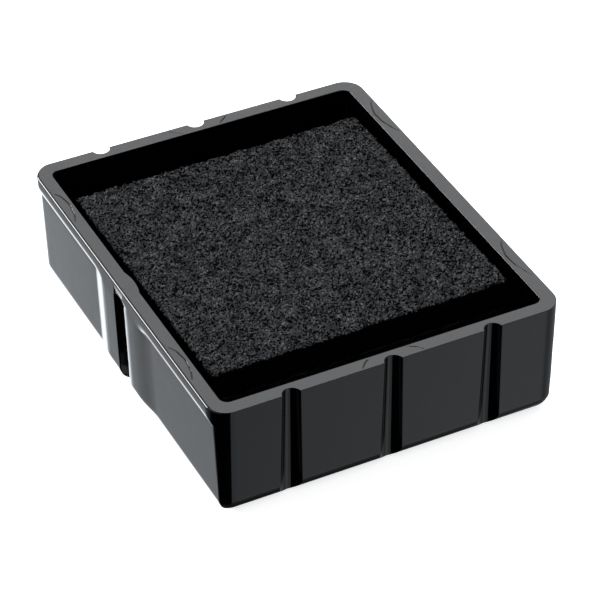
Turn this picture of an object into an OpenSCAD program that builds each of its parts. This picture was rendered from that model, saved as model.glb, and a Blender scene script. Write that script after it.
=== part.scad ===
// Ink pad for a self-inking stamp: an open moulded tray that holds a layered felt pad.
// Origin at the centre of the footprint, on the underside. +Z is up, the two grooved
// ends face -Y and +Y, and the keyed side with the slot faces -X.

/* [Tray] */
// Width over the lips of the two side walls
tray_w = 30; // [26:0.5:44]
// Length from one grooved end to the other
tray_d = 35.4; // [31:0.1:50]
// Height from the underside to the rim
tray_h = 10.3; // [8:0.05:12]
// Radius of the upright outer corners
corner_r = 1.7; // [1:0.1:2.5]
// Thickness of the two grooved end walls at the rim
end_wall = 1.2; // [1.1:0.05:1.8]
// Thickness of the two side walls at the rim
side_wall = 1.25; // [1.2:0.05:1.8]
// Thickness of the floor
floor_t = 1.2; // [0.8:0.1:2]
// Radius of the upright inner corners
inner_r = 0.7; // [0.3:0.1:1]
// Radius of the rounded edge around the underside
foot_r = 1.4; // [0.3:0.1:1.6]

/* [Side lips] */
// How far each lip stands out from the side wall below it
lip_out = 0.26; // [0.1:0.02:0.4]
// Height of the lip's upright face
lip_face = 1.4; // [1:0.1:2]
// Height of the slope that runs from the lip back to the wall
lip_slope = 0.3; // [0.2:0.1:0.6]
// How far each side wall leans in between its lip and the underside
side_lean = 0.27; // [0:0.01:0.35]

/* [End grooves] */
// Distance between neighbouring grooves
groove_pitch = 8.65; // [6:0.05:10]
// Depth of a groove
groove_depth = 0.65; // [0.3:0.05:0.9]
// Half width of a groove at the rim
groove_top_half = 0.75; // [0.65:0.01:0.9]
// Half width of a groove at the underside
groove_foot_half = 0.95; // [0.7:0.01:1.1]

/* [Key slot and boss] */
// Width of the upright slot in the keyed side
slot_w = 1.6; // [1:0.1:2]
// Depth of the slot, from the face of the boss
slot_depth = 0.75; // [0.4:0.05:0.9]
// Distance from the rim down to the top of the slot
slot_drop = 1.1; // [0.8:0.1:2]
// Length of the boss's flat face from the slot's middle towards -Y
boss_front = 2.5; // [2:0.05:4]
// Length over which the boss blends into the wall towards -Y
boss_front_blend = 3.3; // [1:0.1:4]
// Length of the boss's flat face from the slot's middle towards +Y
boss_rear = 3.1; // [2:0.05:4]
// Length over which the boss blends into the wall towards +Y
boss_rear_blend = 1.9; // [1:0.1:4]
// Half length of the swelling inside the wall behind the slot
swell_half = 1.45; // [1:0.05:2]
// Height of that swelling
swell_out = 0.22; // [0.1:0.02:0.3]

/* [Pad] */
// Side of the square pad
pad_side = 26; // [20:0.5:30]
// Distance from the rim down to the pad's printing face
pad_drop = 0.4; // [0.2:0.05:1.5]
// Thickness of the sheet of adhesive under the pad
adhesive_t = 0.15; // [0.1:0.05:0.3]
// Thickness of the web that bonds the felt to the foam
web_t = 0.1; // [0.05:0.05:0.2]
// Thickness of the printing felt
felt_t = 2.7; // [1.5:0.1:4]
// Radius of the pad's upright corners
pad_corner_r = 0.2; // [0.1:0.1:1]

/* [Hidden] */
$fn = 48;

arc_steps = 8;
blend_steps = 12;
over = 1;

half_w = tray_w / 2;
half_d = tray_d / 2;
lip_foot = tray_h - lip_face - lip_slope;
well_w = tray_w - 2 * side_wall;
well_d = tray_d - 2 * end_wall;
swell_r = (swell_half * swell_half + swell_out * swell_out) / (2 * swell_out);
felt_top = tray_h - pad_drop;
felt_base = felt_top - felt_t;
web_base = felt_base - web_t;
foam_base = floor_t + adhesive_t;

// Points of a rounded lower corner, from the underside up to the wall, on the +X side.
function foot_arc(x) = [for (i = [0 : arc_steps]) let (a = 90 * i / arc_steps)
    [x - foot_r + foot_r * sin(a), foot_r - foot_r * cos(a)]];

// The -X half of an outline, mirrored from the +X half and in reverse order.
function mirrored(pts) = [for (i = [len(pts) - 1 : -1 : 0]) [-pts[i][0], pts[i][1]]];

// Smooth step from 0 to 1.
function ease(t) = let (c = max(0, min(1, t))) c * c * (3 - 2 * c);

// How far the boss stands out of the recessed wall at a place y along it.
function boss_out(y) = lip_out * (y < 0
    ? ease((boss_front + boss_front_blend + y) / boss_front_blend)
    : ease((boss_rear + boss_rear_blend - y) / boss_rear_blend));

// One side of the cross-section with the lip, from the underside to the rim.
side_half = concat(
    foot_arc(half_w - lip_out - side_lean),
    [[half_w - lip_out, lip_foot], [half_w, tray_h - lip_face], [half_w, tray_h]]);

// One side of the cross-section through the boss, which is level with the lip.
boss_half = concat(
    foot_arc(half_w - side_lean),
    [[half_w, lip_foot], [half_w, tray_h]]);

// One side of the cross-section through the ends.
end_half = concat(foot_arc(half_d), [[half_d, tray_h]]);

module rounded_slab(w, d, r, base, height) {
    translate([0, 0, base]) linear_extrude(height) union() {
        square([w - 2 * r, d], center = true);
        square([w, d - 2 * r], center = true);
        for (sx = [-1, 1], sy = [-1, 1])
            translate([sx * (w / 2 - r), sy * (d / 2 - r)]) circle(r);
    }
}

// A cross-section drawn in X and Z, run along Y.
module along_y(half, length) {
    rotate([90, 0, 0]) linear_extrude(length, center = true)
        polygon(concat(half, mirrored(half)));
}

// The same cross-section form, run along X.
module along_x(half, length) {
    rotate([0, 0, 90]) along_y(half, length);
}

// Plan of the boss: its outer edge follows the eased step along Y.
module boss_plan() {
    start = -boss_front - boss_front_blend;
    finish = boss_rear + boss_rear_blend;
    ys = concat([for (i = [0 : blend_steps]) start + boss_front_blend * i / blend_steps],
        [for (i = [0 : blend_steps]) boss_rear + boss_rear_blend * i / blend_steps]);
    edge = [for (y = ys) [-(half_w - lip_out) - boss_out(y), y]];
    polygon(concat(edge, [[-half_w + side_wall, finish], [-half_w + side_wall, start]]));
}

// The outer block of the tray, before anything is cut from it.
module tray_block() {
    intersection() {
        rounded_slab(tray_w, tray_d, corner_r, 0, tray_h);
        along_x(end_half, tray_w + over);
        union() {
            along_y(side_half, tray_d + over);
            intersection() {
                along_y(boss_half, tray_d + over);
                linear_extrude(tray_h) boss_plan();
            }
        }
    }
}

// The well for the pad, kept clear of the swelling behind the slot.
module well() {
    difference() {
        rounded_slab(well_w, well_d, inner_r, floor_t, tray_h);
        translate([-well_w / 2 + swell_out - swell_r, 0, 0]) cylinder(tray_h + over, r = swell_r);
    }
}

// Radius of a round groove of a half width, at its full depth.
function groove_r(half) = (half * half + groove_depth * groove_depth) / (2 * groove_depth);

// One groove with its upper end at the origin, wider at the underside than at the rim.
// Its axis leans out a little, so the depth stays the same.
module groove() {
    top_r = groove_r(groove_top_half);
    foot_r = groove_r(groove_foot_half);
    lean = atan((foot_r - top_r) / tray_h);
    grow = (foot_r - top_r) * over / tray_h;
    rotate([-lean, 0, 0]) translate([0, 0, -tray_h - over])
        cylinder(tray_h + 2 * over, foot_r + grow, top_r - grow);
}

// The three grooves of one end.
module groove_row() {
    top_r = groove_r(groove_top_half);
    for (i = [-1 : 1])
        translate([i * groove_pitch, -half_d - top_r + groove_depth, tray_h]) groove();
}

// The slot in the keyed side, open below and arched at its top.
module key_slot() {
    arch_z = tray_h - slot_drop - slot_w / 2;
    translate([-half_w - over, -slot_w / 2, -over]) cube([over + slot_depth, slot_w, over + arch_z]);
    translate([-half_w - over, 0, arch_z]) rotate([0, 90, 0])
        cylinder(over + slot_depth, d = slot_w);
}

module tray() {
    color("#1b1c1e") difference() {
        tray_block();
        well();
        groove_row();
        rotate([0, 0, 180]) groove_row();
        key_slot();
    }
}

// One square layer of the pad.
module pad_layer(base, top) {
    rounded_slab(pad_side, pad_side, pad_corner_r, base, top - base);
}

module pad_adhesive() {
    color("#3a3a38") pad_layer(floor_t, foam_base);
}

module foam_reservoir() {
    color("#222224") pad_layer(foam_base, web_base);
}

module bonding_web() {
    color("#44454a") pad_layer(web_base, felt_base);
}

module felt_face() {
    color("#2c2d30") pad_layer(felt_base, felt_top);
}

tray();
pad_adhesive();
foam_reservoir();
bonding_web();
felt_face();
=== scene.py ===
"""Looks of a stamp's ink pad: a glossy black moulded tray with a layered, ink-soaked felt pad.

Lengths are in millimetres until mesh_object() turns them into metres. The frame is the
CAD model's: origin under the middle of the tray, +Z up, grooved ends at -Y and +Y, and
the keyed side with the slot at -X.
"""

from math import atan2, cos, pi, radians, sin, sqrt, tan

import bpy
import numpy as np
from mathutils import Matrix, Vector
from mathutils.geometry import delaunay_2d_cdt


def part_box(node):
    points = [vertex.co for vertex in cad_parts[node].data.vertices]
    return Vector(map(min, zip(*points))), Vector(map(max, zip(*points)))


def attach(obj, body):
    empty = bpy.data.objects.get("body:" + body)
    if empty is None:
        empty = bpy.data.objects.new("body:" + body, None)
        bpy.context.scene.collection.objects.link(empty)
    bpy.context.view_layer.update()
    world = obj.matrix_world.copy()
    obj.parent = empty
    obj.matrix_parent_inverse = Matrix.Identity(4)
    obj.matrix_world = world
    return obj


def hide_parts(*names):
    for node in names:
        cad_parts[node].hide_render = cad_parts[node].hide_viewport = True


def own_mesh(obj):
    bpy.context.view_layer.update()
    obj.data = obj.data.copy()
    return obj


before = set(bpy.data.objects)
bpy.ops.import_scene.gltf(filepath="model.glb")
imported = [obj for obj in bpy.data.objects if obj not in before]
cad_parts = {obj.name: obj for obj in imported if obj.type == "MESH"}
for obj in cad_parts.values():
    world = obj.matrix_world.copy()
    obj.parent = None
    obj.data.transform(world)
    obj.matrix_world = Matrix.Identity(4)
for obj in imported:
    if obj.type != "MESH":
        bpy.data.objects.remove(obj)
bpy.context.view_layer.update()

MM = 0.001
TINY = 1e-9


def box_mm(node):
    """Lowest and highest corner of a CAD node, in millimetres."""
    low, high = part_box(node)
    return np.array(low) / MM, np.array(high) / MM


FELT_BOX = box_mm("felt_face")
WEB_BOX = box_mm("bonding_web")
FOAM_BOX = box_mm("foam_reservoir")
GLUE_BOX = box_mm("pad_adhesive")

# The tray and the pad, with the dimensions that the CAD model has.
HALF_W, HALF_D, RIM_Z = box_mm("tray")[1]
FLOOR_Z = GLUE_BOX[0][2]
CORNER_R = 1.7
END_WALL = 1.2
SIDE_WALL = 1.25
INNER_R = 0.7
FOOT_R = 1.4
LIP_OUT = 0.26
LIP_FACE = 1.4
LIP_SLOPE = 0.3
LIP_FOOT = RIM_Z - LIP_FACE - LIP_SLOPE
SIDE_LEAN = 0.27
GROOVE_PITCH = 8.65
GROOVE_DEPTH = 0.65
GROOVE_TOP_HALF = 0.75
GROOVE_FOOT_HALF = 0.95
SLOT_W = 1.6
SLOT_DEPTH = 0.75
# Length of the boss's flat face from the slot's middle, and of its blend into the wall.
BOSS_FRONT = (2.5, 3.3)
BOSS_REAR = (3.1, 1.9)
SWELL_HALF = 1.45
SWELL_OUT = 0.22
PAD_CORNER_R = 0.2

# Fine shape that only the looks have, from here on.
# How far the ends, the well's walls and the slot's sides lean.
END_LEAN = 0.05
WELL_LEAN = 0.12
SLOT_LEAN = 0.03
# Radii of rounded edges. The rim's outer edge is rounder on the keyed side.
RIM_ROUND = 0.04
KEY_ROUND = 0.20
INNER_ROUND = 0.05
WELL_FOOT_R = 0.5
GROOVE_EDGE = 0.07
SLOT_EDGE = 0.12
SLOT_FOOT_R = 0.15
# Width and depth of the bevel beside the slot.
SLOT_BEVEL = (0.55, 0.09)
# The slot's roof is an arch that rises from here, under a shallow ramp to the rim. Levels
# up to ARCH_FADE away from it bend along with the arch.
SLOT_DROP = 1.3
SLOT_ROOF = RIM_Z - SLOT_DROP
ARCH_RISE = 0.25
ARCH_FADE = 0.8
RAMP_DEPTH = 0.09
# The lip's face joins the recessed wall in an arc that starts a little above LIP_FOOT.
LIP_START = 0.12
LIP_ROUND = 1.8
LIP_REACH = sqrt(LIP_ROUND**2 - (LIP_ROUND - LIP_OUT) ** 2)
LIP_TOP = LIP_FOOT + LIP_START + LIP_REACH

# Marks of ejector pins on the rim: x, y and radius of each. A mark is a V-shaped groove
# that keeps this clear of the rim's edges.
PIN_MARKS = [(x, y, 5.0) for x in (-19.1, 19.1) for y in (-10.7, 11.5)]
PIN_MARKS += [(0.1, y, 3.4) for y in (-19.65, 19.65)]
PIN_CLEAR = 0.04
PIN_HALF = 0.10
PIN_DEPTH = 0.18

# How the pad was laid in: turned, cut a little short along Y, and shifted.
PAD_TURN = radians(0.45)
PAD_SHORT = 0.988
PAD_SHIFT = (-0.02, 0.2)

# How many points a round in the tray's outline has, and how close to the end of a straight
# stretch its last point but one is held, so that shading stays flat up to the edge.
CORNER_POINTS = 16
INNER_CORNER_POINTS = 10
GROOVE_EDGE_POINTS = 6
GROOVE_CUT_POINTS = 22
HOLD = 0.05


# ---------------------------------------------------------------- helpers


def mesh_object(name, points, faces, materials, indices=None):
    """A smooth-shaded object from points in millimetres."""
    mesh = bpy.data.meshes.new(name)
    mesh.from_pydata((np.asarray(points, float) * MM).tolist(), [], [tuple(f) for f in faces])
    mesh.validate()
    for material in materials:
        mesh.materials.append(material)
    if indices is not None:
        mesh.polygons.foreach_set("material_index", np.asarray(indices, np.int32))
    mesh.polygons.foreach_set("use_smooth", np.ones(len(mesh.polygons), bool))
    mesh.update()
    return link_object(name, mesh)


def link_object(name, data):
    """Puts a new object with this mesh, light or camera into the scene."""
    obj = bpy.data.objects.new(name, data)
    bpy.context.scene.collection.objects.link(obj)
    return obj


def ease(t):
    """Smooth step from 0 to 1."""
    t = np.clip(t, 0.0, 1.0)
    return t * t * (3 - 2 * t)


def quarter(count):
    """Angles from 0 to a right angle."""
    return np.linspace(0, pi / 2, count)


def arc(cx, cy, r, start, end, count):
    """Points of an arc, from angle start to angle end in radians."""
    a = np.linspace(start, end, count)
    return np.stack([cx + r * np.cos(a), cy + r * np.sin(a)], 1)


def spaced(start, end, count):
    """count + 3 values from start to end, with one more held close to each of them."""
    t = np.linspace(start, end, count + 1)
    step = HOLD if end > start else -HOLD
    return np.concatenate([[start, start + step], t[1:-1], [end - step, end]])


def along_x(x, y):
    """Points at the same y for each value of x."""
    return np.stack([x, np.full(len(x), y)], 1)


def along_y(x, y):
    """Points at the same x for each value of y."""
    return np.stack([np.full(len(y), x), y], 1)


def ring_faces(lower, upper):
    """Quads between two rings of point numbers, counter-clockwise seen from outside."""
    return np.stack([lower, np.roll(lower, -1), np.roll(upper, -1), upper], 1).tolist()


def inside(points, loop):
    """Which points lie inside a closed loop, by counting crossings."""
    x, y = points.T[..., None]
    x0, y0 = loop.T[:, None]
    x1, y1 = np.roll(loop, -1, 0).T[:, None]
    spans = (y0 > y) != (y1 > y)
    rise = np.where(y1 == y0, TINY, y1 - y0)
    return ((x < (x1 - x0) * (y - y0) / rise + x0) & spans).sum(1) % 2 == 1


def clearance(points, loop):
    """Distance from each point to the nearest side of a closed loop."""
    side = (np.roll(loop, -1, 0) - loop)[None]
    to_point = points[:, None] - loop[None]
    t = np.clip((to_point * side).sum(2) / (side * side).sum(2), 0, 1)
    gap = to_point - t[..., None] * side
    return np.hypot(gap[..., 0], gap[..., 1]).min(1)


def flat_fill(outer, holes=(), lines=()):
    """Triangles that fill a loop, round its holes and along the given lines.

    Returns the points and triangles of the fill. The loops' own points come first and
    keep their order."""
    points, edges, at = [], [], 0
    for loop in (outer, *holes):
        n = len(loop)
        points.append(loop)
        edges += [(at + i, at + (i + 1) % n) for i in range(n)]
        at += n
    for line in lines:
        n = len(line)
        points.append(line)
        edges += [(at + i, at + i + 1) for i in range(n - 1)]
        at += n
    vectors = [Vector(p) for p in np.concatenate(points)]
    found, _, corners, origin, *_ = delaunay_2d_cdt(vectors, edges, [], 0, 1e-7)
    found = np.array([p[:] for p in found])
    corners = np.array(corners)
    middles = found[corners].mean(1)
    keep = inside(middles, outer)
    for hole in holes:
        keep &= ~inside(middles, hole)
    number = np.array([o[0] if o else -1 for o in origin])
    assert (number >= 0).all() and len(found) == at
    ordered = np.empty((at, 2))
    ordered[number] = found
    return ordered, number[corners[keep]]


# ---------------------------------------------------------------- the tray's outline


def lip_share(z):
    """0 on the recessed wall, 1 on the lip's upright face, with the lip's rounded foot."""
    t = np.clip((LIP_TOP - z) / LIP_REACH, 0, 1)
    drop = LIP_ROUND - sqrt(LIP_ROUND**2 - (t * LIP_REACH) ** 2)
    return 1 - drop / LIP_OUT


def side_x(z):
    """Half width of the side walls at a height, and of the boss at that height."""
    lean = SIDE_LEAN * max(0.0, LIP_FOOT - z) / LIP_FOOT
    return HALF_W - LIP_OUT * (1 - lip_share(z)) - lean, HALF_W - lean


def groove_points(middle, face_y, half, inset, grow):
    """One end groove with its two rounded edges, along +X on the face at -Y.

    half is the groove's half width at this height, inset is how far the face has gone in
    there, and grow is how far the groove's own wall has. Below the height where the foot's
    round swallows the groove, its points lie along the face."""
    radius = (half**2 + GROOVE_DEPTH**2) / (2 * GROOVE_DEPTH)
    axis_y = face_y - inset - (radius - GROOVE_DEPTH)
    radius += grow
    edge = max(0.02, GROOVE_EDGE - grow)
    round_y = face_y + edge
    dx = sqrt(max(0.0, (radius + edge) ** 2 - (round_y - axis_y) ** 2))
    if dx < HOLD:
        count = 2 * GROOVE_EDGE_POINTS + GROOVE_CUT_POINTS - 2
        return along_x(middle + np.linspace(-HOLD, HOLD, count), face_y)
    tilt = atan2(axis_y - round_y, dx)
    left = arc(middle - dx, round_y, edge, -pi / 2, tilt, GROOVE_EDGE_POINTS)
    cut = arc(middle, axis_y, radius, pi + tilt, -tilt, GROOVE_CUT_POINTS)
    right = arc(middle + dx, round_y, edge, -pi - tilt, -pi / 2, GROOVE_EDGE_POINTS)
    return np.concatenate([left, cut[1:-1], right])


def end_points(reach, half_y, z, inset, grow):
    """The grooved end at -Y, from its left corner to its right one."""
    half = GROOVE_FOOT_HALF + (GROOVE_TOP_HALF - GROOVE_FOOT_HALF) * z / RIM_Z
    points, x = [], -reach
    for middle in (-GROOVE_PITCH, 0.0, GROOVE_PITCH):
        groove = groove_points(middle, -half_y, half, inset, grow)
        points += [along_x(spaced(x, groove[0, 0], 10)[:-1], -half_y), groove[:-1]]
        x = groove[-1, 0]
    points.append(along_x(spaced(x, reach, 10), -half_y))
    return np.concatenate(points)


def slot_profile(inset):
    """The slot across: distance from its middle and share of its depth, edge to middle."""
    half = SLOT_W / 2 + inset
    bottom = half - SLOT_LEAN
    edge = [[half + SLOT_EDGE * (1 - sin(a)), SLOT_EDGE * (1 - cos(a))] for a in quarter(6)]
    wall = [[half - 0.4 * SLOT_LEAN, 0.35 * SLOT_DEPTH]]
    foot = [
        [bottom - SLOT_FOOT_R * (1 - cos(a)), SLOT_DEPTH - SLOT_FOOT_R * (1 - sin(a))]
        for a in quarter(5)
    ]
    floor = [[share * (bottom - SLOT_FOOT_R), SLOT_DEPTH] for share in (0.7, 0.4, 0.0)]
    return np.array(edge + wall + foot + floor) / [1, SLOT_DEPTH]


def slot_depth(z):
    """Depth of the slot at a height: a shallow ramp below the rim, then the full depth."""
    if z <= SLOT_ROOF - 0.04:
        return SLOT_DEPTH
    ramp = RAMP_DEPTH * ease((RIM_Z - RIM_ROUND - 0.05 - z) / (RIM_Z - SLOT_ROOF) * 1.15)
    return ramp + (SLOT_DEPTH - ramp) * float(ease((SLOT_ROOF + 0.04 - z) / 0.08))


def slot_bevel(y, edge_y, z):
    """Depth of the bevel beside the slot, which lies towards -Y and fades at the roof."""
    wide, drop = SLOT_BEVEL
    share = (y < 0) * (1 - np.clip((-y - edge_y) / wide, 0, 1))
    return drop * share * float(ease((SLOT_ROOF + 0.5 - z) / 0.6))


def boss_share(y):
    """Height of the boss along the keyed side, from 0 on the wall to 1 on its flat face."""
    flat, blend = BOSS_REAR
    rear = (flat + blend - y) / blend
    flat, blend = BOSS_FRONT
    front = (flat + blend + y) / blend
    return np.where(y > 0, 0.4 * ease(rear) + 0.6 * np.clip(rear, 0, 1), ease(front))


def half_side(reach, edge_y, flat, blend):
    """Distances from the slot's middle along half of the keyed side, corner to slot."""
    wall = spaced(reach, flat + blend, 14)[:-1]
    slope = np.linspace(flat + blend, flat, 18)[:-1]
    return np.concatenate([wall, slope, np.linspace(flat, edge_y + HOLD, 5)])


def keyed_points(reach, z, inset, grow):
    """The keyed side at -X from +Y to -Y: positions, and how far each rises in the arch."""
    wall_x, boss_x = side_x(z)
    profile = slot_profile(grow)
    edge_y = profile[0, 0]
    rear = half_side(reach, edge_y, *BOSS_REAR)
    front = half_side(reach, edge_y, *BOSS_FRONT)
    y = np.concatenate([rear, profile[:, 0], -profile[-2::-1, 0], -front[::-1]])
    share = np.concatenate([0 * rear, profile[:, 1], profile[-2::-1, 1], 0 * front])
    cut = share * (slot_depth(z) + grow) + slot_bevel(y, edge_y, z) * (share < 1)
    x = np.maximum(inset, cut) - wall_x - (boss_x - wall_x) * boss_share(y)
    arch = ARCH_RISE * np.clip(1 - (2 * y / SLOT_W) ** 2, 0, 1)
    return np.stack([x, y], 1), arch * float(ease(1 - abs(z - SLOT_ROOF) / ARCH_FADE))


def cut_corner(cx, cy, corner, start, wall_x):
    """A corner's round between its neighbours, cut off by the side walls below the lip."""
    points = arc(cx, cy, corner, start, start + pi / 2, CORNER_POINTS)[1:-1]
    points[:, 0] = np.clip(points[:, 0], -wall_x, wall_x)
    return points


def keyed_round(x, z, inset):
    """How much further than inset the keyed side's rounder rim edge goes in."""
    drop = max(0.0, z - RIM_Z + KEY_ROUND)
    extra = KEY_ROUND - sqrt(max(0.0, KEY_ROUND**2 - drop**2))
    share = ease((CORNER_R - HALF_W - x) / CORNER_R)
    return max(0.0, extra - min(inset, RIM_ROUND)) * share


def outer_ring(z, inset):
    """One level of the tray's outside, counter-clockwise from the corner at -X -Y."""
    wall_x = side_x(z)[0] - inset
    half_y = HALF_D - END_LEAN * (1 - z / RIM_Z) - inset
    corner = CORNER_R - inset
    cx = HALF_W - CORNER_R
    cy = half_y - corner
    # The rim's round follows the grooves and the slot; the foot's round cuts across them.
    grow = inset if z > LIP_FOOT else 0.0
    front = end_points(cx, half_y, z, inset, grow)
    keyed, rise = keyed_points(cy, z, inset, grow)
    # This corner isn't cut off: it is narrower, to follow the side wall's recess.
    rear_left = arc(0, cy, corner, pi / 2, pi, CORNER_POINTS)[1:-1]
    rear_left[:, 0] = -cx + rear_left[:, 0] * (wall_x - cx) / corner
    front_left = cut_corner(-cx, -cy, corner, pi, wall_x)
    points = np.concatenate([
        front,
        cut_corner(cx, -cy, corner, -pi / 2, wall_x),
        along_y(wall_x, spaced(-cy, cy, 48)),
        cut_corner(cx, cy, corner, 0, wall_x),
        -front,
        rear_left,
        keyed,
        front_left,
    ])
    points[:, 0] += keyed_round(points[:, 0], z, inset)
    heights = np.full(len(points), z)
    heights[-len(front_left) - len(keyed) : -len(front_left)] += rise
    return np.column_stack([points, heights])


def inner_ring(z, inset):
    """One level of the well's wall, counter-clockwise. inset is towards the pad."""
    lean = WELL_LEAN * (RIM_Z - z) / RIM_Z + inset
    half_x = HALF_W - SIDE_WALL - lean
    half_y = HALF_D - END_WALL - lean
    corner = max(0.15, INNER_R - inset)
    cx = half_x - corner
    cy = half_y - corner

    def turn(x, y, start):
        """A corner's round between its neighbours."""
        return arc(x, y, corner, start, start + pi / 2, INNER_CORNER_POINTS)[1:-1]

    rear = spaced(cy, SWELL_HALF, 12)[:-1]
    behind_slot = np.linspace(SWELL_HALF, -SWELL_HALF, 25)
    front = spaced(-SWELL_HALF, -cy, 12)[1:]
    key_y = np.concatenate([rear, behind_slot, front])
    swell_r = (SWELL_HALF**2 + SWELL_OUT**2) / (2 * SWELL_OUT)
    offset = np.minimum(np.abs(key_y), SWELL_HALF)
    swell = np.sqrt(swell_r**2 - offset**2) - (swell_r - SWELL_OUT)
    end_x = spaced(-cx, cx, 24)
    points = np.concatenate([
        along_x(end_x, -half_y),
        turn(cx, -cy, -pi / 2),
        along_y(half_x, spaced(-cy, cy, 24)),
        turn(cx, cy, 0),
        along_x(-end_x, half_y),
        turn(-cx, cy, pi / 2),
        np.stack([-half_x + swell, key_y], 1),
        turn(-cx, -cy, pi),
    ])
    return np.column_stack([points, np.full(len(points), z)])


def outer_levels():
    """(height, inset) of each level of the outside, from the underside to the rim."""
    levels = [(0.0, FOOT_R + HOLD)]
    levels += [(FOOT_R * (1 - cos(a)), FOOT_R * (1 - sin(a))) for a in quarter(28)]
    levels += [(z, 0.0) for z in np.arange(FOOT_R + 0.06, LIP_FOOT, 0.45)]
    levels += [(z, 0.0) for z in np.linspace(LIP_FOOT + HOLD, LIP_TOP, 26)]
    levels += [(z, 0.0) for z in np.arange(LIP_TOP + 0.1, RIM_Z - KEY_ROUND - HOLD, 0.12)]
    # The keyed side's rounder edge starts lower than the rest of the rim's.
    levels += [(RIM_Z - KEY_ROUND * (1 - sin(a)), 0.0) for a in np.linspace(0, radians(40), 5)]
    levels.append((RIM_Z - RIM_ROUND - 0.005, 0.0))
    levels += [(RIM_Z - RIM_ROUND * (1 - sin(a)), RIM_ROUND * (1 - cos(a))) for a in quarter(7)]
    levels.append((RIM_Z, RIM_ROUND + 0.02))
    return levels


def inner_levels():
    """(height, inset) of each level of the well, from the rim down to its floor."""
    levels = [(RIM_Z, -INNER_ROUND - 0.02)]
    for a in quarter(6):
        levels.append((RIM_Z - INNER_ROUND * (1 - cos(a)), -INNER_ROUND * (1 - sin(a))))
    levels += [(z, 0.0) for z in np.linspace(RIM_Z - 0.15, FLOOR_Z + WELL_FOOT_R + HOLD, 12)]
    for a in quarter(6):
        levels.append((FLOOR_Z + WELL_FOOT_R * (1 - sin(a)), WELL_FOOT_R * (1 - cos(a))))
    levels.append((FLOOR_Z, WELL_FOOT_R + HOLD))
    return levels


def pin_lines(outer, inner):
    """Arcs on the rim where the moulding's ejector pins met it.

    Each is five lines side by side: the middle one is the bottom of a V-shaped groove.
    Returns the lines and how low their points lie."""
    lines, low = [], []
    for x, y, r in PIN_MARKS:
        # The circle starts on the side away from the tray, so that its arc isn't split.
        start = atan2(y, x)
        turn = np.linspace(0, 2 * pi, 1440)
        circle = arc(x, y, r, start, start + 2 * pi, len(turn))
        ok = inside(circle, outer) & ~inside(circle, inner)
        for loop in (outer, inner):
            ok &= clearance(circle, loop) > PIN_HALF + PIN_CLEAR
        splits = np.where(np.diff(ok.astype(int)) != 0)[0] + 1
        for run in np.split(np.arange(len(turn)), splits):
            if not ok[run[0]] or len(run) < 12:
                continue
            a = start + np.linspace(turn[run[0]], turn[run[-1]], len(run) // 4 + 3)
            fade = np.sin(np.linspace(0, pi, len(a))) ** 0.15
            waver = 0.03 * np.sin(9 * a) + 0.02 * np.sin(23 * a + 1)
            for off in (-PIN_HALF, -PIN_HALF / 2, 0, PIN_HALF / 2, PIN_HALF):
                wide = r + off * fade + waver
                line = np.stack([x + wide * np.cos(a), y + wide * np.sin(a)], 1)
                lines.append(line[1:-1] if off else line)
                low.append(0 * a[1:-1] if off else -PIN_DEPTH * fade)
    return lines, np.concatenate(low)


def build_tray(plastic, satin):
    """The whole moulding: outside, rim with its pin marks, well, floor and underside."""
    outside = [outer_ring(z, inset) for z, inset in outer_levels()]
    rings = outside + [inner_ring(z, inset) for z, inset in inner_levels()]
    starts = np.cumsum([0] + [len(ring) for ring in rings])
    numbers = [np.arange(start, end) for start, end in zip(starts[:-1], starts[1:])]
    rim = len(outside) - 1
    faces = []
    for k in range(len(rings) - 1):
        # The gap between the outside's last ring and the well's first one is the rim.
        if k != rim:
            faces += ring_faces(numbers[k], numbers[k + 1])
    kinds = [0] * len(faces)

    rim_out, rim_in = (ring[:, :2] for ring in rings[rim : rim + 2])
    lines, low = pin_lines(rim_out, rim_in)
    fill, triangles = flat_fill(rim_out, [rim_in], lines)
    loops = np.concatenate(numbers[rim : rim + 2])
    marks = np.column_stack([fill[len(loops) :], RIM_Z + low])
    mark_numbers = starts[-1] + np.arange(len(marks))
    faces += np.concatenate([loops, mark_numbers])[triangles].tolist()
    # The bottom of each mark is as glossy as the walls; the rest of the rim is satin.
    middles = fill[triangles].mean(1)
    gaps = [np.abs(np.hypot(*(middles - [x, y]).T) - r) for x, y, r in PIN_MARKS]
    kinds += np.where(np.min(gaps, 0) < 0.7 * PIN_HALF, 0, 1).tolist()

    for end, order in ((0, -1), (-1, 1)):
        triangles = flat_fill(rings[end][:, :2])[1]
        faces += numbers[end][triangles][:, ::order].tolist()
        kinds += [0] * len(triangles)
    return mesh_object("tray_moulding", np.concatenate([*rings, marks]), faces, [plastic, satin], kinds)


# ---------------------------------------------------------------- the pad


def smooth_noise(rng, shape, size, step):
    """Periodic random field, mean 0 and deviation 1, with features about size across."""
    white = np.fft.rfft2(rng.standard_normal(shape))
    fy = np.fft.fftfreq(shape[0], step)[:, None]
    fx = np.fft.rfftfreq(shape[1], step)[None]
    f = np.hypot(fx, fy) * size
    field = np.fft.irfft2(white * f * np.exp(-((f * 0.9) ** 2)), shape)
    return (field - field.mean()) / field.std()


def felt_heights(rng, count, step):
    """Relief of the printing face: fibre-sized grain, open pits and a faint swell."""
    shape = (count, count)
    grain = smooth_noise(rng, shape, 0.22, step)
    clumps = smooth_noise(rng, shape, 0.55, step)
    swell = smooth_noise(rng, shape, 4.0, step)
    pits = np.clip(smooth_noise(rng, shape, 0.8, step) + 0.5 * grain - 1.5, 0, None)
    return 0.05 * grain + 0.035 * clumps + 0.02 * swell - 0.12 * pits - 0.1


def flat_top(rng, count, step):
    """No relief, for a layer that another one covers."""
    return np.zeros((count, count))


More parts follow.
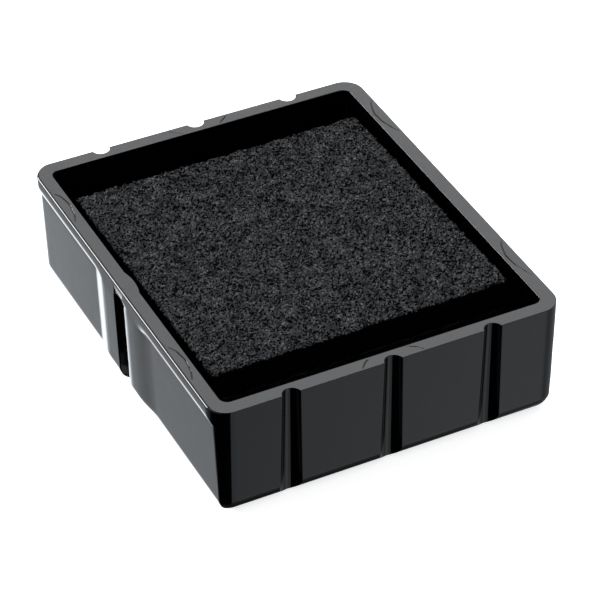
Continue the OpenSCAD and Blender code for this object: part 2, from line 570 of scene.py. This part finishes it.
def settle(points):
    """Turns and shifts the pad's layers a little, as they were laid in by hand.

    The turn is so small that it can be done as two shears, first along X and then along Y."""
    y = points[:, 1] * PAD_SHORT
    x = points[:, 0] * cos(PAD_TURN) - y * sin(PAD_TURN) + PAD_SHIFT[0]
    y = x * sin(PAD_TURN) + y * cos(PAD_TURN) + PAD_SHIFT[1]
    return np.column_stack([x, y, points[:, 2]])


def rounded_square(line, corner):
    """Grid with round corners over a square: x, y, and which points lie in a corner."""
    x, y = np.meshgrid(line, line, indexing="ij")
    straight = line[-1] - corner
    over_x = np.abs(x) - straight
    over_y = np.abs(y) - straight
    in_corner = (over_x > 0) & (over_y > 0)
    pull = np.maximum(over_x, over_y) / np.maximum(np.hypot(over_x, over_y), TINY)
    x = np.where(in_corner, np.sign(x) * (straight + over_x * pull), x)
    y = np.where(in_corner, np.sign(y) * (straight + over_y * pull), y)
    return x, y, in_corner


def border_cells(count):
    """Row and column of each border point of a square grid, once round."""
    last = count - 1
    there = range(last)
    back = range(last, 0, -1)
    cells = [(i, 0) for i in there] + [(last, j) for j in there]
    return np.array(cells + [(i, last) for i in back] + [(0, j) for j in back])


def cut_wander(rng, shape, step, ragged):
    """How far a layer's cut sides wander in from its outline, level by level."""
    wander = smooth_noise(rng, shape, 0.35, step) * 0.5
    wander += smooth_noise(rng, shape, 1.6, step) * 0.5
    return ragged * (np.tanh(wander) - 1)


def spread_inwards(grid, depth):
    """Carries a grid's border values inwards, column by column and row by row."""
    for k in range(1, depth):
        grid[k, k:-k] = grid[0, k:-k]
        grid[-1 - k, k:-k] = grid[-1, k:-k]
        grid[k:-k, k] = grid[k:-k, 0]
        grid[k:-k, -1 - k] = grid[k:-k, -1]


def outward(line, border, corner):
    """Direction out of the layer at each border point."""
    place = line[border]
    over = np.abs(place) - line[-1] + corner
    way = np.where(over >= 0, np.sign(place) * over / corner, 0)
    return way / np.maximum(np.hypot(*way.T), TINY)[:, None]


def pad_block(name, box, rng, materials, step=0.2, ragged=0.1, top=flat_top, round_top=0.01):
    """A square layer as a closed block: gridded top, ragged cut sides and a flat base."""
    low, high = box
    half = (high[0] - low[0]) / 2
    count = int(round(2 * half / step)) + 1
    line = np.linspace(-half, half, count)
    x, y, in_corner = rounded_square(line, PAD_CORNER_R)
    border = border_cells(count)
    cells = tuple(border.T)
    levels = max(3, int(round((high[2] - low[2]) / max(step, 0.15))))
    wander = cut_wander(rng, (levels + 1, len(border)), step, ragged)

    # The top's edge follows the cut, and the grid behind it gives way over half a millimetre.
    fringe = 0.5
    edge = np.zeros((count, count))
    edge[cells] = wander[0]
    spread_inwards(edge, int(fringe / step))
    from_edge = half - np.maximum(np.abs(line)[:, None], np.abs(line))
    edge *= np.clip(1 - from_edge / fringe, 0, 1) ** 2
    wider = np.abs(x) >= np.abs(y)
    x = x + np.where(wider | in_corner, np.sign(x) * edge, 0)
    y = y + np.where(~wider | in_corner, np.sign(y) * edge, 0)
    drop = round_top * np.clip(1 - from_edge / (1.6 * round_top), 0, 1) ** 2
    z = high[2] + top(rng, count, step) - drop

    points = [np.stack([x, y, z], -1).reshape(-1, 3)]
    index = np.arange(count * count).reshape(count, count)
    quads = [index[:-1, :-1], index[1:, :-1], index[1:, 1:], index[:-1, 1:]]
    faces = np.stack(quads, -1).reshape(-1, 4).tolist()
    kinds = [0] * len(faces)
    above = index[cells]
    top_ring = points[0][above]
    away = outward(line, border, PAD_CORNER_R)
    at = count * count
    for level in range(1, levels + 1):
        share = level / levels
        xy = top_ring[:, :2] + away * (wander[level] - wander[0])[:, None]
        points.append(np.column_stack([xy, top_ring[:, 2] * (1 - share) + low[2] * share]))
        below = np.arange(at, at + len(border))
        faces += ring_faces(below, above)
        above = below
        at += len(border)
    points.append([[0, 0, low[2]]])
    faces += np.stack([np.roll(above, -1), above, np.full(len(above), at)], 1).tolist()
    kinds += [len(materials) - 1] * (len(faces) - len(kinds))
    return mesh_object(name, settle(np.concatenate(points)), faces, materials, kinds)


def fibres(name, count, box, rng, material):
    """Short curved fibres that lie on the printing face, each a closed three-sided tube."""
    low, high = box
    half = (high[0] - low[0]) / 2 - 0.1
    sunk = high[2] - 0.075
    middles = rng.uniform(-half, half, (count, 2))
    heading = rng.uniform(0, 2 * pi, count)
    length = rng.uniform(0.15, 0.5, count)
    bend = rng.normal(0, 1.3, count)
    lift = rng.uniform(-0.04, 0.035, count)
    thick = rng.uniform(0.016, 0.034, count)
    segments = 4
    n = segments + 1
    t = np.linspace(-0.5, 0.5, n)
    narrow = 1 - 0.7 * (2 * np.abs(t)) ** 4
    points, faces, at = [], [], 0
    for m, h, l, b, up, r in zip(middles, heading, length, bend, lift, thick):
        turn = h + b * t
        path = m + np.cumsum(np.column_stack([np.cos(turn), np.sin(turn)]) * l / segments, 0)
        path = np.clip(path, -half - 0.08, half + 0.08)
        z = sunk + up * np.cos(t * 2.4) - r
        side = np.column_stack([-np.sin(turn), np.cos(turn)])
        for k in range(3):
            angle = pi / 2 + k * 2 * pi / 3
            across = side * (r * narrow * cos(angle))[:, None]
            points.append(np.column_stack([path + across, z + r * narrow * sin(angle)]))
            a, c = at + k * n, at + ((k + 1) % 3) * n
            faces += [(a + i, a + i + 1, c + i + 1, c + i) for i in range(segments)]
        faces += [(at, at + n, at + 2 * n), (at + 3 * n - 1, at + 2 * n - 1, at + n - 1)]
        at += 3 * n
    return mesh_object(name, settle(np.concatenate(points)), faces, [material])


# ---------------------------------------------------------------- materials


class Nodes:
    """Builds one node material."""

    def __init__(self, name):
        self.material = bpy.data.materials.new(name)
        self.material.use_nodes = True
        self.tree = self.material.node_tree
        self.shader = self.tree.nodes["Principled BSDF"]
        self.place = self.add("ShaderNodeTexCoord").outputs["Object"]

    def add(self, kind, **values):
        """A new node with these input values and settings."""
        node = self.tree.nodes.new(kind)
        for key, value in values.items():
            if key in node.inputs:
                node.inputs[key].default_value = value
            else:
                setattr(node, key, value)
        return node

    def link(self, source, target):
        """Joins a node's output to an input."""
        self.tree.links.new(source, target)

    def noise(self, size_mm, detail=3.0, stretch=(1, 1, 1)):
        """Noise with features about size_mm across, in the object's own space."""
        scale = self.add("ShaderNodeMapping")
        scale.inputs["Scale"].default_value = [s / (size_mm * MM) for s in stretch]
        self.link(self.place, scale.inputs["Vector"])
        node = self.add("ShaderNodeTexNoise", Scale=1.0, Detail=detail)
        self.link(scale.outputs["Vector"], node.inputs["Vector"])
        return node.outputs["Fac"]

    def cells(self, size_mm):
        """Voronoi cells about size_mm across."""
        node = self.add("ShaderNodeTexVoronoi", Scale=1 / (size_mm * MM))
        self.link(self.place, node.inputs["Vector"])
        return node.outputs

    def ramp(self, source, low, high, out_low, out_high):
        """Maps a value's range to another one, held at its ends."""
        ranges = {"From Min": low, "From Max": high, "To Min": out_low, "To Max": out_high}
        node = self.add("ShaderNodeMapRange", **ranges)
        self.link(source, node.inputs["Value"])
        return node.outputs["Result"]

    def bump(self, source, depth_mm, under=None):
        """A normal with this relief, on top of another normal if one is given."""
        node = self.add("ShaderNodeBump", Strength=1.0, Distance=depth_mm * MM)
        self.link(source, node.inputs["Height"])
        if under is not None:
            self.link(under, node.inputs["Normal"])
        return node.outputs["Normal"]

    def set(self, name, value):
        """A plain value on the shader's own socket."""
        self.shader.inputs[name].default_value = value

    def colour(self, share, dark, light):
        """Base colour: dark where the share is 0, light where it is 1."""
        node = self.add("ShaderNodeMix", data_type="RGBA")
        node.inputs["A"].default_value = (*dark, 1)
        node.inputs["B"].default_value = (*light, 1)
        self.link(share, node.inputs["Factor"])
        self.link(node.outputs["Result"], self.shader.inputs["Base Color"])

    def roughness(self, noise, low, high, start=0.3, end=0.7):
        """Roughness from low to high as a noise goes from start to end."""
        self.link(self.ramp(noise, start, end, low, high), self.shader.inputs["Roughness"])

    def relief(self, source, depth_mm, under=None):
        """Bump on the surface."""
        self.link(self.bump(source, depth_mm, under), self.shader.inputs["Normal"])


def gloss_plastic():
    """Polished black moulding: uneven gloss, faint flow waviness and the finest grain."""
    n = Nodes("tray_gloss")
    n.colour(n.noise(3.0), (0.0002, 0.0002, 0.00025), (0.0005, 0.0005, 0.0006))
    n.roughness(n.noise(1.6, 5.0), 0.06, 0.13, start=0.35)
    n.set("IOR", 1.5)
    wavy = n.bump(n.noise(2.6, 1.0, (1, 1, 0.35)), 0.004)
    n.relief(n.noise(0.12, 2.0), 0.0006, wavy)
    return n.material


def satin_rim():
    """The parting face of the rim: the same plastic with a fine matt grain."""
    n = Nodes("tray_rim")
    n.colour(n.noise(1.2), (0.010, 0.0105, 0.0115), (0.016, 0.0165, 0.018))
    n.roughness(n.noise(0.5, 4.0), 0.24, 0.36)
    n.set("IOR", 1.5)
    n.relief(n.noise(0.16, 3.0), 0.0035)
    return n.material


def inked_felt():
    """Needled felt soaked in black ink: dark fibres and open pits, with painted shade in the pits and
    painted glints on the fibres.

    Each small cell has a random value, and a coarser noise gathers the values in clumps. Where their
    sum is low the felt is painted black as the shade in its pits, in the middle it has the felt's own
    grey, and at the top it is painted light as glints off its fibres. The same share raises the bump."""
    n = Nodes("inked_felt")
    cell_value = n.add("ShaderNodeSeparateColor")
    n.link(n.cells(0.125)["Color"], cell_value.inputs["Color"])
    clumped = n.add("ShaderNodeMath", operation="MULTIPLY_ADD")
    n.link(n.noise(1.2, 5.0), clumped.inputs[0])
    clumped.inputs[1].default_value = 0.8
    n.link(cell_value.outputs["Red"], clumped.inputs[2])
    # The share's black end paints the shade in the pits and its light end paints glints; the middle is
    # the felt's own grey.
    shade_and_glint_share = n.add("ShaderNodeMath", operation="ADD")
    n.link(n.ramp(clumped.outputs["Value"], 0.80, 0.90, 0, 0.34), shade_and_glint_share.inputs[0])
    n.link(n.ramp(clumped.outputs["Value"], 1.22, 1.42, 0, 0.66), shade_and_glint_share.inputs[1])
    n.colour(shade_and_glint_share.outputs["Value"], (0.0002, 0.0002, 0.0003), (0.102, 0.102, 0.105))
    n.roughness(n.noise(0.3, 3.0), 0.45, 0.75)
    n.set("IOR", 1.4)
    n.set("Specular IOR Level", 0.02)
    n.relief(shade_and_glint_share.outputs["Value"], 0.04)
    return n.material


def inked_fibre():
    """Single moist fibres that lie on the felt and glint."""
    n = Nodes("inked_fibre")
    light = n.ramp(n.noise(0.5, 3.0), 0.45, 0.7, 0, 1)
    n.colour(light, (0.002, 0.002, 0.0022), (0.05, 0.051, 0.056))
    n.roughness(n.noise(0.7), 0.25, 0.5)
    n.set("Specular IOR Level", 0.2)
    n.relief(n.noise(0.1), 0.01)
    return n.material


def felt_edge():
    """The felt's cut sides: near black, which paints the shade in the gap between pad and well wall,
    and with hardly any glint from the ink.
    """
    n = Nodes("felt_edge")
    n.colour(n.noise(0.25, 4.0), (0.0001, 0.0001, 0.0001), (0.0012, 0.0012, 0.0014))
    n.roughness(n.noise(0.4), 0.7, 0.95)
    n.set("Specular IOR Level", 0.03)
    n.relief(n.noise(0.2, 4.0, (1, 1, 0.4)), 0.06)
    return n.material


def inked_foam():
    """Open-cell foam soaked in ink, darkest in its sunken cell hollows: painted shade."""
    n = Nodes("inked_foam")
    hollow_shade_and_relief = n.ramp(n.cells(0.35)["Distance"], 0.1, 0.6, 0, 1)
    n.colour(hollow_shade_and_relief, (0.0006, 0.0006, 0.0007), (0.004, 0.004, 0.0045))
    n.roughness(n.noise(0.5), 0.7, 0.9)
    n.set("Specular IOR Level", 0.1)
    n.relief(hollow_shade_and_relief, 0.12)
    return n.material


def fused_web():
    """The thin bonding web that shows as a line at the pad's cut edge."""
    n = Nodes("fused_web")
    n.colour(n.noise(0.3), (0.001, 0.001, 0.0012), (0.006, 0.006, 0.0067))
    n.roughness(n.noise(0.4), 0.4, 0.7)
    n.set("Specular IOR Level", 0.15)
    n.relief(n.noise(0.15, 3.0), 0.02)
    return n.material


def transfer_adhesive():
    """The sheet of adhesive under the pad, stained by ink."""
    n = Nodes("transfer_adhesive")
    n.colour(n.noise(1.0, 4.0), (0.004, 0.004, 0.004), (0.03, 0.03, 0.028))
    n.roughness(n.noise(0.8), 0.15, 0.4)
    n.relief(n.noise(0.5, 2.0), 0.03)
    return n.material


def pale_floor():
    """Plain white light table with the faintest mottle: it glows, so shadows on it stay pale."""
    n = Nodes("pale_floor")
    n.colour(n.noise(60.0), (0.86, 0.86, 0.86), (0.88, 0.88, 0.88))
    n.roughness(n.noise(30.0), 0.85, 0.95)
    n.set("Emission Color", (1, 1, 1, 1))
    n.set("Emission Strength", 0.7)
    return n.material


def glow(name, radiance):
    """A card's material: black, and glowing a cool white."""
    n = Nodes(name)
    n.set("Base Color", (0, 0, 0, 1))
    n.set("Specular IOR Level", 0.0)
    n.set("Emission Color", (0.91, 0.955, 1.0, 1))
    n.set("Emission Strength", radiance)
    return n.material


# ---------------------------------------------------------------- studio


def add_camera():
    """A long lens from the front left, above the rim."""
    azimuth, elevation, distance = radians(-26.71), radians(38.10), 0.2355
    level = Vector((sin(azimuth), -cos(azimuth), 0))
    back = level * cos(elevation) + Vector((0, 0, sin(elevation)))
    right = Vector((0, 0, 1)).cross(back).normalized()
    up = back.cross(right)
    # The aim is 7.65 mm below the rim, near the tray's middle.
    centre = right * 0.00086 - level * 0.00133
    centre.z = (RIM_Z - 7.65) * MM
    data = bpy.data.cameras.new("camera")
    data.sensor_width = 36.0
    data.lens = 172.5
    data.clip_start = 0.01
    data.clip_end = 10.0
    camera = link_object("camera", data)
    turn = Matrix((right, up, back)).transposed().to_4x4()
    camera.matrix_world = Matrix.Translation(centre + back * distance) @ turn
    bpy.context.scene.camera = camera


def area_light(name, place, size, power, colour=(1, 1, 1)):
    """A rectangular softbox at a place, facing the origin."""
    data = bpy.data.lights.new(name, "AREA")
    data.shape = "RECTANGLE"
    data.size, data.size_y = size
    data.energy = power
    data.color = colour
    light = link_object(name, data)
    light.location = place
    light.rotation_euler = (-Vector(place)).to_track_quat("-Z", "Y").to_euler()


def glow_card(name, azimuths, elevations, radiance, depth=0.5):
    """A card far below the floor that only reflections see, between two compass angles
    (anticlockwise from +X) and two angles below the horizon, all in degrees."""
    far, near = (depth / tan(radians(e)) for e in elevations)
    turn = np.radians(np.linspace(*azimuths, 25))
    count = len(turn)
    points = [(r * cos(a), r * sin(a), -depth) for r in (near, far) for a in turn]
    quads = [(i, count + i, count + i + 1, i + 1) for i in range(count - 1)]
    mesh = bpy.data.meshes.new(name)
    mesh.from_pydata(points, [], quads)
    mesh.materials.append(glow(name, radiance))
    card = link_object(name, mesh)
    card.visible_camera = False
    card.visible_diffuse = False
    card.visible_shadow = False


def glow_sweep(name, azimuths, elevations, radiances, count):
    """A row of cards whose radiance runs from one value to another."""
    edges = np.linspace(*azimuths, count + 1)
    for k, radiance in enumerate(np.linspace(*radiances, count)):
        glow_card(f"{name}_{k}", (edges[k], edges[k + 1]), elevations, radiance)


def add_cards():
    """What the moulding mirrors: bands of grey, black and bright white, by direction.

    Seen by the camera, upright walls mirror what lies about 38 degrees below the horizon,
    and the foot's round mirrors what lies lower."""
    whole, upper = (8, 64), (8, 47)
    glow_card("card_under", (0, 360), (64, 89.9), 0.05)
    glow_card("card_front_left", (166, 268), whole, 0.0)
    glow_card("card_front_near", (268, 291), upper, 0.50)
    glow_sweep("card_front", (291, 303), upper, (0.50, 0.72), 12)
    glow_sweep("card_front_far", (303, 322), upper, (0.72, 0.40), 6)
    glow_card("card_front_right", (322, 350), upper, 0.30)
    glow_card("card_front_low", (268, 350), (47, 54), 0.34)
    glow_card("card_front_foot", (268, 350), (54, 64), 0.15)
    glow_card("card_right", (350, 436), whole, 0.3)
    glow_card("card_back", (76, 94), whole, 2.7)
    glow_sweep("card_back_left", (94, 110), whole, (2.5, 0.8), 10)
    glow_card("card_left", (110, 126), whole, 0.68)
    glow_sweep("card_far_left", (126, 166), whole, (0.36, 0.08), 10)


def add_studio():
    """Pale floor, soft white surroundings, softboxes above and behind, and the cards."""
    bpy.ops.mesh.primitive_plane_add(size=4.0)
    floor = bpy.context.object
    floor.name = "studio_floor"
    floor.data.materials.append(pale_floor())
    floor.visible_glossy = False
    world = bpy.data.worlds.new("studio")
    bpy.context.scene.world = world
    world.use_nodes = True
    background = world.node_tree.nodes["Background"]
    background.inputs["Color"].default_value = (0.97, 0.98, 1.0, 1)
    background.inputs["Strength"].default_value = 0.6
    add_cards()
    area_light("key_softbox", (0.25, 0.45, 0.40), (0.35, 0.35), 0.55)
    area_light("top_softbox", (0.05, 0.25, 0.75), (0.5, 0.4), 4.6, (0.89, 0.96, 1.0))
    area_light("rim_softbox", (-0.40, 0.45, 0.16), (0.4, 0.25), 5.5)
    bpy.context.scene.view_settings.view_transform = "Standard"


# ---------------------------------------------------------------- the object


def build_object():
    """The tray, the felt with its loose fibres, and the three layers under the felt."""
    rng = np.random.default_rng(7)
    tray = build_tray(gloss_plastic(), satin_rim())
    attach(tray, "cartridge")
    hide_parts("tray")

    felt_looks = [inked_felt(), felt_edge()]
    felt = pad_block("felt_pad", FELT_BOX, rng, felt_looks, step=0.09, top=felt_heights, round_top=0.1)
    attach(felt, "pad_face")
    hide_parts("felt_face")
    fuzz = fibres("felt_fibres", 4000, FELT_BOX, rng, inked_fibre())
    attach(fuzz, "pad_face")

    web = pad_block("web_layer", WEB_BOX, rng, [fused_web()], ragged=0.08)
    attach(web, "pad_face")
    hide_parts("bonding_web")

    foam = pad_block("foam_block", FOAM_BOX, rng, [inked_foam()], ragged=0.14)
    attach(foam, "cartridge")
    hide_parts("foam_reservoir")
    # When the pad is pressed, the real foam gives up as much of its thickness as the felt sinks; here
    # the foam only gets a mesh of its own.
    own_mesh(foam)

    glue = pad_block("adhesive_sheet", GLUE_BOX, rng, [transfer_adhesive()], ragged=0.1)
    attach(glue, "cartridge")
    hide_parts("pad_adhesive")


add_camera()
add_studio()
build_object()
